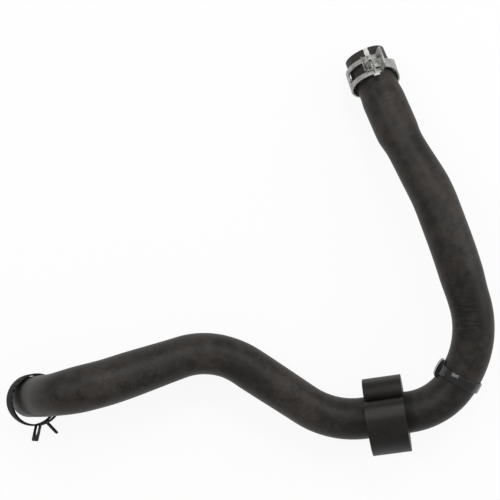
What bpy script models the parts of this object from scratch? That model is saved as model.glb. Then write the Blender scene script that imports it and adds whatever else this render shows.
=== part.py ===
"""Engine bay heater hose: a moulded rubber hose with a spring band clamp on each end, the clip that
holds the upper clamp open, a split rubber collar and a cable tie. It lies on a bench as it comes to
rest, on its two ends and the collar. Metres, +Z up, origin under the middle of its outline."""

import math

import bpy
from mathutils import Matrix, Vector

# Hose: the bore and wall of the main run, and how much wider or narrower it was moulded in places
HOSE_BORE = 0.019
HOSE_WALL = 0.004
LEFT_ARM_SWELL = 0.0026
ARCH_SWELL = 0.0009
LOW_BEND_WAIST = 0.0004
WIDE_BEND_WAIST = 0.0002
RISING_ARM_SWELL = 0.0014
NECK_WAIST = 0.0010
CUFF_SWELL = 0.0013
HOSE_SIDES = 28
BEND_STEP = math.radians(6.5)
STRAIGHT_STEP = 0.010

# Clearance between any two pieces that touch
SEAT_GAP = 0.0003

# Spring band clamp: one stamped strip, shown held open, so that it stands off the hose at its tangs
CLAMP_STRIP_WIDTH = 0.0135
CLAMP_THICKNESS = 0.0012
CLAMP_LEG_WIDTH = 0.0031
TONGUE_CLEARANCE = 0.00035
TONGUE_SHOULDER = 0.0008
TANG_LENGTH = 0.0108
TANG_BEND_RADIUS = 0.0014
TANG_CORNER = 0.0016
SLOT_FROM_TANGS = math.radians(82)
SHOULDER_START = math.radians(42)
SHOULDER_END = math.radians(100)
RING_STEP = math.radians(7.5)

# How each clamp is held: how far open, the angle between its tangs, how far each tang leans out,
# where its tangs point, which way it has slipped on the hose, and how far and which way it is tilted
UPPER_CLAMP_SETBACK = 0.0088
UPPER_CLAMP_OPENING = 0.0032
UPPER_TANG_SPREAD = math.radians(22)
UPPER_TONGUE_LEAN = math.radians(6)
UPPER_FORK_LEAN = math.radians(-2)
UPPER_CLAMP_TANGS = math.radians(4)
UPPER_CLAMP_SLIP = math.radians(-30)
UPPER_CLAMP_TILT = math.radians(9)
UPPER_CLAMP_TILT_SIDE = math.radians(143)
LOWER_CLAMP_SETBACK = 0.0040
LOWER_CLAMP_OPENING = 0.0044
LOWER_TANG_SPREAD = math.radians(22)
LOWER_TONGUE_LEAN = math.radians(14)
LOWER_FORK_LEAN = math.radians(20)
LOWER_CLAMP_TANGS = math.radians(-92)
LOWER_CLAMP_SLIP = math.radians(-66)
LOWER_CLAMP_TILT = math.radians(3)
LOWER_CLAMP_TILT_SIDE = math.radians(-160)

# Clip that holds the upper clamp open
RETAINER_THICKNESS = 0.0009
RETAINER_LIP = 0.0026
RETAINER_HOOK = 0.0030
RETAINER_NECK_WIDTH = 0.0019
RETAINER_RAIL = 0.0010
RETAINER_TAB_WIDTH = 0.0042
RETAINER_TAB_DEPTH = 0.0018

# Collar: a thick split ring of soft rubber, with rounded lips along the split
COLLAR_DIAMETER = 0.0503
COLLAR_WIDTH = 0.0250
COLLAR_PLACE = 0.2813
COLLAR_SPLIT_ANGLE = math.radians(-45)
COLLAR_SPLIT_GAP = 0.0007
COLLAR_LIP_RADIUS = 0.0080
COLLAR_EDGE = 0.0009

# Cable tie: a flat strap, and its low head on the inner side of the bend with a pocket in its top.
# It is pulled tight a little way up from the collar's upper end.
TIE_FROM_COLLAR = 0.0430
TIE_PLACE = COLLAR_PLACE + COLLAR_WIDTH / 2 + TIE_FROM_COLLAR
TIE_WIDTH = 0.0066
TIE_THICKNESS = 0.0011
TIE_HEAD_LENGTH = 0.0126
TIE_HEAD_RISE = 0.0023
TIE_HEAD_RIM = 0.0006
TIE_HEAD_DEPTH = 0.0054
TIE_POCKET_DEPTH = 0.0032

# Centreline of the hose over the bench, lower left end first: the corners between its straight runs,
# and the radius of the bend at each corner
CENTRELINE = (
    (Vector((-0.1479, -0.0987, 0.0055)), 0.0),
    (Vector((-0.1189, -0.0904, 0.0580)), 0.028),
    (Vector((-0.0903, -0.0838, 0.0470)), 0.150),
    (Vector((-0.0230, -0.0629, 0.0230)), 0.0495),
    (Vector((0.0542, -0.1136, 0.0200)), 0.053),
    (Vector((0.1253, -0.1022, 0.0305)), 0.044),
    (Vector((0.1485, -0.0572, 0.0370)), 0.062),
    (Vector((0.1314, -0.0032, 0.0420)), 0.130),
    (Vector((0.1175, 0.0364, 0.0370)), 0.100),
    (Vector((0.0972, 0.0756, 0.0255)), 0.060),
    (Vector((0.0760, 0.1293, 0.0130)), 0.0),
)

# Where the moulded diameter changes: distance along the centreline and extra diameter there
SWELLS = (
    (0.000, 0.0),
    (0.042, 0.0),
    (0.068, LEFT_ARM_SWELL),
    (0.090, LEFT_ARM_SWELL),
    (0.138, 0.0),
    (0.164, 0.0),
    (0.184, ARCH_SWELL),
    (0.228, 0.0),
    (0.288, 0.0),
    (0.306, -LOW_BEND_WAIST),
    (0.345, -LOW_BEND_WAIST),
    (0.370, -WIDE_BEND_WAIST),
    (0.392, 0.0),
    (0.409, RISING_ARM_SWELL),
    (0.466, RISING_ARM_SWELL),
    (0.499, -NECK_WAIST),
    (0.512, CUFF_SWELL),
    (0.533, CUFF_SWELL),
    (0.540, 0.0),
)

OUTER_RADIUS = HOSE_BORE / 2 + HOSE_WALL
WELD_DISTANCE = 0.00001
DOME_TURNS = [math.pi * i / 12 for i in range(1, 12)]


def start_scene():
    for obj in list(bpy.data.objects):
        bpy.data.objects.remove(obj, do_unlink=True)
    parts = bpy.data.collections.new("heater_hose")
    tools = bpy.data.collections.new("heater_hose_tools")
    bpy.context.scene.collection.children.link(parts)
    bpy.context.scene.collection.children.link(tools)
    origin = bpy.data.objects.new("heater_hose_origin", None)
    parts.objects.link(origin)
    return parts, tools, origin


def finish_material(name, colour, roughness, metallic=0.0):
    material = bpy.data.materials.new(name)
    material.use_nodes = True
    shader = material.node_tree.nodes["Principled BSDF"]
    shader.inputs["Base Color"].default_value = (*colour, 1.0)
    shader.inputs["Roughness"].default_value = roughness
    shader.inputs["Metallic"].default_value = metallic
    return material


def add_part(name, data, material, place=None):
    """An object in the part's collection, under the origin empty."""
    obj = bpy.data.objects.new(name, data)
    data.materials.append(material)
    PARTS.objects.link(obj)
    obj.parent = ORIGIN
    if place is not None:
        obj.matrix_world = place
    return obj


def mesh_from(name, points, faces):
    mesh = bpy.data.meshes.new(name)
    mesh.from_pydata([tuple(p) for p in points], [], faces)
    mesh.validate()
    return mesh


def smooth_by_angle(mesh, angle):
    mesh.shade_smooth()
    mesh.set_sharp_from_angle(angle=angle)


# Centreline


def straight_points(start, end):
    """Points after start up to end, evenly spaced."""
    count = max(1, math.ceil((end - start).length / STRAIGHT_STEP))
    return [start.lerp(end, i / count) for i in range(1, count + 1)]


def bend_points(before, corner, after, radius):
    """Points of the arc that rounds a corner, from one tangent point to the other."""
    back = (before - corner).normalized()
    ahead = (after - corner).normalized()
    turn = math.pi - back.angle(ahead)
    start = corner + back * radius * math.tan(turn / 2)
    centre = corner + (back + ahead).normalized() * radius / math.cos(turn / 2)
    spoke = start - centre
    axis = (-back).cross(ahead).normalized()
    count = max(2, math.ceil(turn / BEND_STEP))
    return [centre + Matrix.Rotation(turn * i / count, 3, axis) @ spoke for i in range(count + 1)]


def centreline_points():
    corners = [corner for corner, _ in CENTRELINE]
    points = [corners[0]]
    for i in range(1, len(corners) - 1):
        arc = bend_points(corners[i - 1], corners[i], corners[i + 1], CENTRELINE[i][1])
        points += straight_points(points[-1], arc[0]) + arc[1:]
    return points + straight_points(points[-1], corners[-1])


def distances_along(points):
    along = [0.0]
    for a, b in zip(points, points[1:]):
        along.append(along[-1] + (b - a).length)
    return along


def point_at(distance):
    """The centreline's point at a distance from the lower end, and its direction there."""
    for i in range(len(LINE) - 1):
        if distance <= ALONG[i + 1] or i == len(LINE) - 2:
            share = (distance - ALONG[i]) / (ALONG[i + 1] - ALONG[i])
            return LINE[i].lerp(LINE[i + 1], share), (LINE[i + 1] - LINE[i]).normalized()


def swell_at(distance):
    """Extra diameter at a distance, eased from one station of SWELLS to the next."""
    for (a, low), (b, high) in zip(SWELLS, SWELLS[1:]):
        if distance <= b:
            share = (distance - a) / (b - a)
            return low + (high - low) * share * share * (3 - 2 * share)
    return SWELLS[-1][1]


def outer_radius(distance):
    return OUTER_RADIUS + swell_at(distance) / 2


def frame_on_hose(distance, towards_upper_end=True):
    """A frame on the centreline: Z along the hose, and X to the side that faces up from the bench."""
    point, z = point_at(distance)
    if not towards_upper_end:
        z = -z
    x = (Vector((0, 0, 1)) - z * z.z).normalized()
    y = z.cross(x)
    frame = Matrix((x, y, z)).transposed().to_4x4()
    frame.translation = point
    return frame


# Hose


def make_hose():
    curve = bpy.data.curves.new("hose", "CURVE")
    curve.dimensions = "3D"
    curve.twist_mode = "MINIMUM"
    curve.bevel_depth = OUTER_RADIUS
    curve.bevel_resolution = (HOSE_SIDES - 4) // 2
    curve.use_fill_caps = False
    spline = curve.splines.new("POLY")
    spline.points.add(len(LINE) - 1)
    for spot, point, distance in zip(spline.points, LINE, ALONG):
        spot.co = (*point, 1.0)
        spot.radius = outer_radius(distance) / OUTER_RADIUS
    hose = add_part("hose", curve, RUBBER)
    wall = hose.modifiers.new("wall", "SOLIDIFY")
    wall.thickness = HOSE_WALL
    wall.offset = -1.0
    wall.use_even_offset = True
    return hose


# Spring band clamps and their clip, both cut from strip and bent


def bent_strip(name, rows, cells):
    """A stamped strip. rows holds, for each station along it, the points across it. cells holds, for
    each pair of stations, which of the spaces between neighbouring points is metal."""
    across = len(rows[0])
    points = [point for row in rows for point in row]
    faces = []
    for i, filled in enumerate(cells):
        for j, metal in enumerate(filled):
            if metal:
                a = i * across + j
                faces.append((a, a + 1, a + across + 1, a + across))
    used = sorted({corner for face in faces for corner in face})
    place = {old: new for new, old in enumerate(used)}
    mesh = mesh_from(
        name,
        [points[old] for old in used],
        [tuple(place[corner] for corner in face) for face in faces],
    )
    smooth_by_angle(mesh, math.radians(35))
    return mesh


def thicken(obj, thickness):
    sheet = obj.modifiers.new("thickness", "SOLIDIFY")
    sheet.thickness = thickness
    sheet.offset = 0.0
    sheet.use_even_offset = True
    return obj


def on_circle(radius, angle):
    return Vector((radius * math.cos(angle), radius * math.sin(angle)))


def tang_offset(radius):
    """The angle between the foot of a tang's bend and the tang."""
    return math.asin(TANG_BEND_RADIUS / (radius + TANG_BEND_RADIUS))


def tang_bend(radius, angle, side, lean):
    """The bend between the ring and a tang at an angle, from the ring outwards. The ring lies on the
    given side of the tang, which is +1 for greater angles, and the tang leans away from it."""
    foot = angle + side * tang_offset(radius)
    centre = on_circle(radius + TANG_BEND_RADIUS, foot)
    sweep = side * (math.pi / 2 - tang_offset(radius) - lean)
    steps = 4
    return [centre + on_circle(TANG_BEND_RADIUS, foot + math.pi + sweep * i / steps) for i in range(steps + 1)]


def tang_point(radius, angle, side, lean, height):
    """A point on the straight of a tang, by its height over the ring."""
    start = tang_bend(radius, angle, side, lean)[-1]
    return start + on_circle(radius + height - start.length, angle - side * lean)


def corner_inset(height):
    """How much narrower a tang is on each side at a height, for its rounded corners."""
    short = max(0.0, height - (TANG_LENGTH - TANG_CORNER))
    return TANG_CORNER - math.sqrt(max(0.0, TANG_CORNER**2 - short**2))


def ease(value, start, end):
    share = min(1.0, max(0.0, (value - start) / (end - start)))
    return share * share * (3 - 2 * share)


def clamp_strip(ring_radius, spread, tongue_lean, fork_lean):
    """Rows and cells of the clamp's strip, in the clamp's own frame. Angles run from the middle
    between its tangs. The tongue starts at its tang, and the fork ends at the other."""
    half_strip = CLAMP_STRIP_WIDTH / 2
    half_slot = half_strip - CLAMP_LEG_WIDTH
    half_tongue = half_slot - TONGUE_CLEARANCE
    half_tongue_tang = half_tongue - TONGUE_SHOULDER
    tongue_angle = -spread / 2
    fork_angle = math.tau + spread / 2
    stations = []

    # Tongue tang, from its tip to the ring
    heights = [TANG_LENGTH, TANG_LENGTH - 0.2 * TANG_CORNER, TANG_LENGTH - TANG_CORNER, TANG_LENGTH / 2]
    for height in heights:
        inset = min(corner_inset(height), 0.6 * half_tongue_tang)
        spot = tang_point(ring_radius, tongue_angle, 1, tongue_lean, height)
        stations.append((spot, half_tongue_tang - inset, half_tongue_tang - inset, "tongue"))
    for spot in reversed(tang_bend(ring_radius, tongue_angle, 1, tongue_lean)):
        stations.append((spot, half_tongue_tang, half_tongue_tang, "tongue"))

    # Ring: the tongue widens into the full strip, which is slotted for the fork
    first = tongue_angle + tang_offset(ring_radius)
    last = fork_angle - tang_offset(ring_radius)
    count = math.ceil((last - first) / RING_STEP)
    slot_start = math.tau - SLOT_FROM_TANGS
    slot_seen = 0
    for i in range(1, count):
        angle = first + (last - first) * i / count
        spot = on_circle(ring_radius, angle)
        if angle < SHOULDER_START:
            half = half_tongue_tang + (half_tongue - half_tongue_tang) * ease(angle, first, SHOULDER_START)
            stations.append((spot, half, half, "tongue"))
        elif angle < slot_start:
            shoulder = ease(angle, SHOULDER_START, SHOULDER_END)
            outer = half_tongue * 1.08 + (half_strip - half_tongue * 1.08) * shoulder
            inner = half_tongue + (half_slot * 0.45 - half_tongue) * ease(angle, SHOULDER_START, slot_start)
            stations.append((spot, inner, outer, "full"))
        else:
            rounding = (0.45, 0.86, 1.0)[min(slot_seen, 2)]
            slot_seen += 1
            stations.append((spot, half_slot * rounding, half_strip, "fork"))

    # Fork tang, from the ring to its tip, with the slot closed by a bar at the tip
    for spot in tang_bend(ring_radius, fork_angle, -1, fork_lean):
        stations.append((spot, half_slot, half_strip, "fork"))
    bar = TANG_LENGTH - CLAMP_LEG_WIDTH
    for height, slot, kind in (
        ((TANG_BEND_RADIUS + bar) / 2, 1.0, "fork"),
        (bar - 0.0006, 0.9, "fork"),
        (bar, 0.6, "full"),
        (TANG_LENGTH - TANG_CORNER, 0.6, "full"),
        (TANG_LENGTH - 0.3 * TANG_CORNER, 0.6, "full"),
        (TANG_LENGTH, 0.6, "full"),
    ):
        spot = tang_point(ring_radius, fork_angle, -1, fork_lean, height)
        stations.append((spot, half_slot * slot, half_strip - corner_inset(height), kind))

    metal = {"tongue": (False, True, False), "full": (True, True, True), "fork": (True, False, True)}
    rows = [
        [Vector((spot.x, spot.y, w)) for w in (-outer, -inner, inner, outer)]
        for spot, inner, outer, _ in stations
    ]
    cells = [metal[kind] for _, _, _, kind in stations[:-1]]
    return rows, cells


def clamp_ring_radius(distance, opening):
    """Middle of the strip's thickness, with the clamp held open."""
    return outer_radius(distance) + SEAT_GAP + opening / 2 + CLAMP_THICKNESS / 2


def clamp_frame(distance, towards_upper_end, opening, tangs, slip, tilt, tilt_side):
    """The clamp's frame, X towards its tangs. It has slipped as far as it goes one way, so that it rests
    on the hose opposite. A tilted clamp has less room to slip, because its edges stand aside."""
    frame = frame_on_hose(distance, towards_upper_end)
    way = on_circle(1.0, slip)
    aside = on_circle(CLAMP_STRIP_WIDTH / 2 * math.sin(tilt), tilt_side)
    shared = abs(way.dot(aside))
    drop = math.sqrt(shared**2 + (opening / 2) ** 2 - aside.length_squared) - shared
    shift = Matrix.Translation((*(way * drop), 0))
    hinge = on_circle(1.0, tilt_side + math.pi / 2).to_3d()
    return frame @ shift @ Matrix.Rotation(tilt, 4, hinge) @ Matrix.Rotation(tangs, 4, "Z")


def make_clamp(name, material, radius, spread, tongue_lean, fork_lean, frame):
    rows, cells = clamp_strip(radius, spread, tongue_lean, fork_lean)
    clamp = add_part(name, bent_strip(name, rows, cells), material, frame)
    return thicken(clamp, CLAMP_THICKNESS)


def make_retainer(ring_radius, spread, frame):
    """A curved plate on the strip between the tangs. The tongue's tang comes up through its window, its
    hook passes through the fork's slot and turns up behind the fork's tang, and a T tab hangs behind
    the band."""
    radius = ring_radius + CLAMP_THICKNESS / 2 + SEAT_GAP + RETAINER_THICKNESS / 2
    half_strip = CLAMP_STRIP_WIDTH / 2
    half_slot = half_strip - CLAMP_LEG_WIDTH
    window = half_slot - TONGUE_CLEARANCE - TONGUE_SHOULDER + 2 * SEAT_GAP
    tongue_angle = -spread / 2
    fork_angle = spread / 2
    sheet = CLAMP_THICKNESS / 2 + RETAINER_THICKNESS / 2 + SEAT_GAP
    plate_start = tongue_angle - 2.4 * sheet / radius
    window_start = tongue_angle - (CLAMP_THICKNESS / 2 + SEAT_GAP) / radius
    window_end = tongue_angle + (TANG_BEND_RADIUS + CLAMP_THICKNESS / 2 + SEAT_GAP) / radius
    plate_end = fork_angle - (TANG_BEND_RADIUS + 1.6 * sheet) / radius
    hook_end = fork_angle + 1.3 * sheet / radius
    neck_middle = (window_end + plate_end) / 2
    neck = RETAINER_NECK_WIDTH / 2 / radius
    tab = RETAINER_TAB_WIDTH / 2 / radius
    back = -half_strip - SEAT_GAP
    rail = -window - RETAINER_RAIL
    front = half_strip - SEAT_GAP
    across = (back - RETAINER_TAB_DEPTH, back, rail, -window, window, front)

    def metal(angle):
        """Which spaces across are metal at an angle: tab, neck, rear rail, middle and front rail."""
        plate = angle < plate_end
        window_here = window_start < angle < window_end
        aside = abs(angle - neck_middle)
        return (aside < tab, aside < neck, plate, not window_here, plate)

    # Angle and height over the plate: a lip turned up in front, the plate, the hook turned up at its end
    flat = (
        plate_start + 0.9 * sheet / radius,
        window_start,
        window_end,
        neck_middle - tab,
        neck_middle - neck,
        neck_middle + neck,
        neck_middle + tab,
        plate_end,
        (plate_end + hook_end) / 2,
        hook_end - 0.5 * sheet / radius,
    )
    stations = (
        [(plate_start, RETAINER_LIP), (plate_start, RETAINER_LIP * 0.4)]
        + [(plate_start + 0.3 * sheet / radius, RETAINER_LIP * 0.1)]
        + [(angle, 0.0) for angle in sorted(flat)]
        + [(hook_end, RETAINER_HOOK * 0.25), (hook_end, RETAINER_HOOK)]
    )
    rows = []
    for angle, height in stations:
        spot = on_circle(radius + height, angle)
        rows.append([Vector((spot.x, spot.y, w)) for w in across])
    cells = [metal((low[0] + high[0]) / 2) for low, high in zip(stations, stations[1:])]
    mesh = bent_strip("upper_clamp_retainer", rows, cells)
    retainer = add_part("upper_clamp_retainer", mesh, ZINC_CLIP, frame)
    return thicken(retainer, RETAINER_THICKNESS)


# Collar


def arc_points(centre, radius, start, end, step=math.radians(10)):
    count = max(2, math.ceil(abs(end - start) / step))
    return [centre + on_circle(radius, start + (end - start) * i / count) for i in range(count + 1)]


def collar_outline():
    """The collar's section: a thick ring, cut through along +X, with a rounded lip on each side."""
    outer = COLLAR_DIAMETER / 2
    bore = outer_radius(COLLAR_PLACE) + SEAT_GAP
    half_gap = COLLAR_SPLIT_GAP / 2
    # The lip rounds off no more than the wall has
    wall_inside = bore + SEAT_GAP
    room = (outer**2 - half_gap**2 - wall_inside**2) / (2 * (outer + half_gap))
    lip_radius = min(COLLAR_LIP_RADIUS, room)
    lip_out = outer - lip_radius
    lip_side = half_gap + lip_radius
    lip_angle = math.asin(lip_side / lip_out)
    lip = Vector((lip_out * math.cos(lip_angle), lip_side))
    bore_angle = math.asin(half_gap / bore)
    upper = arc_points(lip, lip_radius, -math.pi / 2, lip_angle, math.radians(16))
    lower = [Vector((p.x, -p.y)) for p in reversed(upper)]
    ring = arc_points(Vector((0, 0)), outer, lip_angle, math.tau - lip_angle)
    hole = arc_points(Vector((0, 0)), bore, math.tau - bore_angle, bore_angle, math.radians(12))
    return upper + ring[1:-1] + lower + hole


def make_collar():
    curve = bpy.data.curves.new("collar", "CURVE")
    curve.dimensions = "2D"
    curve.fill_mode = "BOTH"
    curve.extrude = COLLAR_WIDTH / 2
    outline = collar_outline()
    spline = curve.splines.new("POLY")
    spline.points.add(len(outline) - 1)
    for spot, point in zip(spline.points, outline):
        spot.co = (point.x, point.y, 0.0, 1.0)
    spline.use_cyclic_u = True
    frame = frame_on_hose(COLLAR_PLACE) @ Matrix.Rotation(COLLAR_SPLIT_ANGLE, 4, "Z")
    collar = add_part("collar", curve, SOFT_RUBBER, frame)
    weld = collar.modifiers.new("weld", "WELD")
    weld.merge_threshold = WELD_DISTANCE
    edge = collar.modifiers.new("edge", "BEVEL")
    edge.width = COLLAR_EDGE
    edge.segments = 2
    edge.limit_method = "ANGLE"
    edge.angle_limit = math.radians(60)
    return collar


# Cable tie


def rounded_section(width, height, corner):
    """Closed outline of a flat strap's section, from one arc at each corner."""
    points = []
    for side_x, side_y, start in ((1, -1, -90), (1, 1, 0), (-1, 1, 90), (-1, -1, 180)):
        centre = Vector((side_x * (width / 2 - corner), side_y * (height / 2 - corner)))
        turn = math.radians(start)
        points += arc_points(centre, corner, turn, turn + math.pi / 2, math.radians(46))
    return points


def low_dome(half, rise):
    """Half an outline that is rounded at both ends and nearly flat over its middle."""
    dome = [Vector((half * -math.cos(turn), rise * math.sin(turn) ** 0.6)) for turn in DOME_TURNS]
    return [Vector((-half, 0))] + dome + [Vector((half, 0))]


def tie_tool(name, frame, outline, low, high, base_radius):
    """A solid for the tie's head or its pocket, from an outline with X along the hose and Y outwards.
    It runs from one height to another over the hose's middle."""
    curve = bpy.data.curves.new(name, "CURVE")
    curve.dimensions = "2D"
    curve.fill_mode = "BOTH"
    curve.extrude = (high - low) / 2
    spline = curve.splines.new("POLY")
    spline.points.add(len(outline) - 1)
    for spot, point in zip(spline.points, outline):
        spot.co = (point.x, point.y, 0.0, 1.0)
    spline.use_cyclic_u = True
    flat = bpy.data.objects.new(name + "_outline", curve)
    TOOLS.objects.link(flat)
    middle = (low + high) / 2
    outwards = Matrix(((0, 0, -1, middle), (0, -1, 0, -base_radius), (-1, 0, 0, 0), (0, 0, 0, 1)))
    bpy.context.view_layer.update()
    graph = bpy.context.evaluated_depsgraph_get()
    mesh = bpy.data.meshes.new_from_object(flat.evaluated_get(graph))
    bpy.data.objects.remove(flat)
    tool = bpy.data.objects.new(name, mesh)
    TOOLS.objects.link(tool)
    tool.parent = ORIGIN
    tool.matrix_world = frame @ outwards
    tool.hide_render = True
    tool.display_type = "WIRE"
    weld = tool.modifiers.new("weld", "WELD")
    weld.merge_threshold = WELD_DISTANCE
    return tool


def make_cable_tie():
    inner = outer_radius(TIE_PLACE) + SEAT_GAP
    middle = inner + TIE_THICKNESS / 2
    section = rounded_section(TIE_THICKNESS, TIE_WIDTH, TIE_THICKNESS * 0.3)
    points = [Vector((middle + p.x, 0, p.y)) for p in section]
    mesh = bpy.data.meshes.new("cable_tie")
    edges = [(i, (i + 1) % len(points)) for i in range(len(points))]
    mesh.from_pydata([tuple(p) for p in points], edges, [])
    frame = frame_on_hose(TIE_PLACE)
    tie = add_part("cable_tie", mesh, NYLON, frame)
    ring = tie.modifiers.new("ring", "SCREW")
    ring.axis = "Z"
    ring.angle = math.tau
    ring.steps = 40
    ring.render_steps = 40
    ring.use_merge_vertices = True
    ring.merge_threshold = WELD_DISTANCE
    top = TIE_HEAD_DEPTH / 2
    half = TIE_HEAD_LENGTH / 2
    head = tie_tool("tie_head", frame, low_dome(half, TIE_HEAD_RISE), -top, top, middle)
    pocket_outline = low_dome(half - TIE_HEAD_RIM, TIE_HEAD_RISE - TIE_THICKNESS / 2 - 2 * TIE_HEAD_RIM)
    pocket = tie_tool(
        "tie_pocket",
        frame,
        pocket_outline,
        top - TIE_POCKET_DEPTH,
        top + TIE_THICKNESS,
        inner + TIE_THICKNESS + TIE_HEAD_RIM,
    )
    for operation, tool in (("UNION", head), ("DIFFERENCE", pocket)):
        step = tie.modifiers.new(tool.name, "BOOLEAN")
        step.operation = operation
        step.solver = "EXACT"
        step.object = tool
    return tie


def stand_on_origin():
    """Moves the part so that the origin lies under the middle of its outline, at its lowest point."""
    bpy.context.view_layer.update()
    graph = bpy.context.evaluated_depsgraph_get()
    low = Vector((math.inf,) * 3)
    high = Vector((-math.inf,) * 3)
    for obj in PARTS.objects:
        if obj.type == "EMPTY":
            continue
        evaluated = obj.evaluated_get(graph)
        mesh = evaluated.to_mesh()
        for vertex in mesh.vertices:
            point = evaluated.matrix_world @ vertex.co
            low = Vector(map(min, low, point))
            high = Vector(map(max, high, point))
        evaluated.to_mesh_clear()
    ORIGIN.location = (-(low.x + high.x) / 2, -(low.y + high.y) / 2, -low.z)


PARTS, TOOLS, ORIGIN = start_scene()
RUBBER = finish_material("hose_rubber", (0.036, 0.035, 0.033), 0.62)
SOFT_RUBBER = finish_material("collar_rubber", (0.026, 0.025, 0.024), 0.72)
ZINC = finish_material("clamp_zinc", (0.46, 0.47, 0.46), 0.42, 0.85)
ZINC_CLIP = finish_material("clip_zinc", (0.46, 0.46, 0.43), 0.45, 0.85)
BLACK_STEEL = finish_material("clamp_black", (0.018, 0.019, 0.018), 0.38, 0.3)
NYLON = finish_material("tie_nylon", (0.014, 0.014, 0.013), 0.22)

LINE = centreline_points()
ALONG = distances_along(LINE)
UPPER_CLAMP_PLACE = ALONG[-1] - UPPER_CLAMP_SETBACK - CLAMP_STRIP_WIDTH / 2
LOWER_CLAMP_PLACE = LOWER_CLAMP_SETBACK + CLAMP_STRIP_WIDTH / 2
UPPER_RING_RADIUS = clamp_ring_radius(UPPER_CLAMP_PLACE, UPPER_CLAMP_OPENING)
LOWER_RING_RADIUS = clamp_ring_radius(LOWER_CLAMP_PLACE, LOWER_CLAMP_OPENING)
UPPER_CLAMP_FRAME = clamp_frame(
    UPPER_CLAMP_PLACE,
    True,
    UPPER_CLAMP_OPENING,
    UPPER_CLAMP_TANGS,
    UPPER_CLAMP_SLIP,
    UPPER_CLAMP_TILT,
    UPPER_CLAMP_TILT_SIDE,
)
LOWER_CLAMP_FRAME = clamp_frame(
    LOWER_CLAMP_PLACE,
    False,
    LOWER_CLAMP_OPENING,
    LOWER_CLAMP_TANGS,
    LOWER_CLAMP_SLIP,
    LOWER_CLAMP_TILT,
    LOWER_CLAMP_TILT_SIDE,
)

make_hose()
make_clamp(
    "upper_clamp",
    ZINC,
    UPPER_RING_RADIUS,
    UPPER_TANG_SPREAD,
    UPPER_TONGUE_LEAN,
    UPPER_FORK_LEAN,
    UPPER_CLAMP_FRAME,
)
make_retainer(UPPER_RING_RADIUS, UPPER_TANG_SPREAD, UPPER_CLAMP_FRAME)
make_clamp(
    "lower_clamp",
    BLACK_STEEL,
    LOWER_RING_RADIUS,
    LOWER_TANG_SPREAD,
    LOWER_TONGUE_LEAN,
    LOWER_FORK_LEAN,
    LOWER_CLAMP_FRAME,
)
make_collar()
make_cable_tie()
stand_on_origin()
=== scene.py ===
import math
from bisect import bisect_right

import bmesh
import bpy
from mathutils import Matrix, Vector


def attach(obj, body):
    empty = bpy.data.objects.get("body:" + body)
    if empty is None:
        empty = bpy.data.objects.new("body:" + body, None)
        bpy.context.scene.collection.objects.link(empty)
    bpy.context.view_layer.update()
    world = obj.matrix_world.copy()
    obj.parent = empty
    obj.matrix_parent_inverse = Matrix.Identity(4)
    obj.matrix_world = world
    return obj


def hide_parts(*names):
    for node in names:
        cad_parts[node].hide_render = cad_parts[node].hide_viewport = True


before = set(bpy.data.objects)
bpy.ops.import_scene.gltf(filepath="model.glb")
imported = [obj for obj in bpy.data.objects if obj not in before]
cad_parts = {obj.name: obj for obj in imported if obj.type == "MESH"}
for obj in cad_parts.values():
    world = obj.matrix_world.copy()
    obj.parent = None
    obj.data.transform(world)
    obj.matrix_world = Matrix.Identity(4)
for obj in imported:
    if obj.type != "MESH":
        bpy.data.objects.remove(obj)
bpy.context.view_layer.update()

# The hose lies on a white sweep and is looked at from straight above.
# The lens stands over the middle of the picture, 0.75 m above the sweep.
# The hose's route is measured from route_origin, a point under the lens and just over the sweep.
route_origin = Vector((0.00216, -0.00011, 0.00144))
camera_data = bpy.data.cameras.new("overhead_camera")
camera_data.lens = 79.6
camera_data.sensor_width = 36.0
camera = bpy.data.objects.new("overhead_camera", camera_data)
camera.location = (route_origin.x, route_origin.y, 0.75)
bpy.context.scene.collection.objects.link(camera)
bpy.context.scene.camera = camera
bpy.context.scene.view_settings.view_transform = "Standard"

# The floor is a wide sheet of matt white paper that keeps a faint shadow of the hose.
# It is white to the lens and in reflections, whatever the lamps give it.


class Wire:
    """A socket in a material. Sums on wires and numbers add their Math nodes."""

    def __init__(self, finish, socket):
        self.finish = finish
        self.socket = socket

    def sum(self, operation, *values):
        return self.finish.node("ShaderNodeMath", {"operation": operation}, dict(enumerate(values)))

    def __add__(self, other):
        return self.sum("ADD", self, other)

    def __sub__(self, other):
        return self.sum("SUBTRACT", self, other)

    def __rsub__(self, other):
        return self.sum("SUBTRACT", other, self)

    def __mul__(self, other):
        return self.sum("MULTIPLY", self, other)

    def __abs__(self):
        return self.sum("ABSOLUTE", self)

    __radd__ = __add__
    __rmul__ = __mul__


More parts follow.
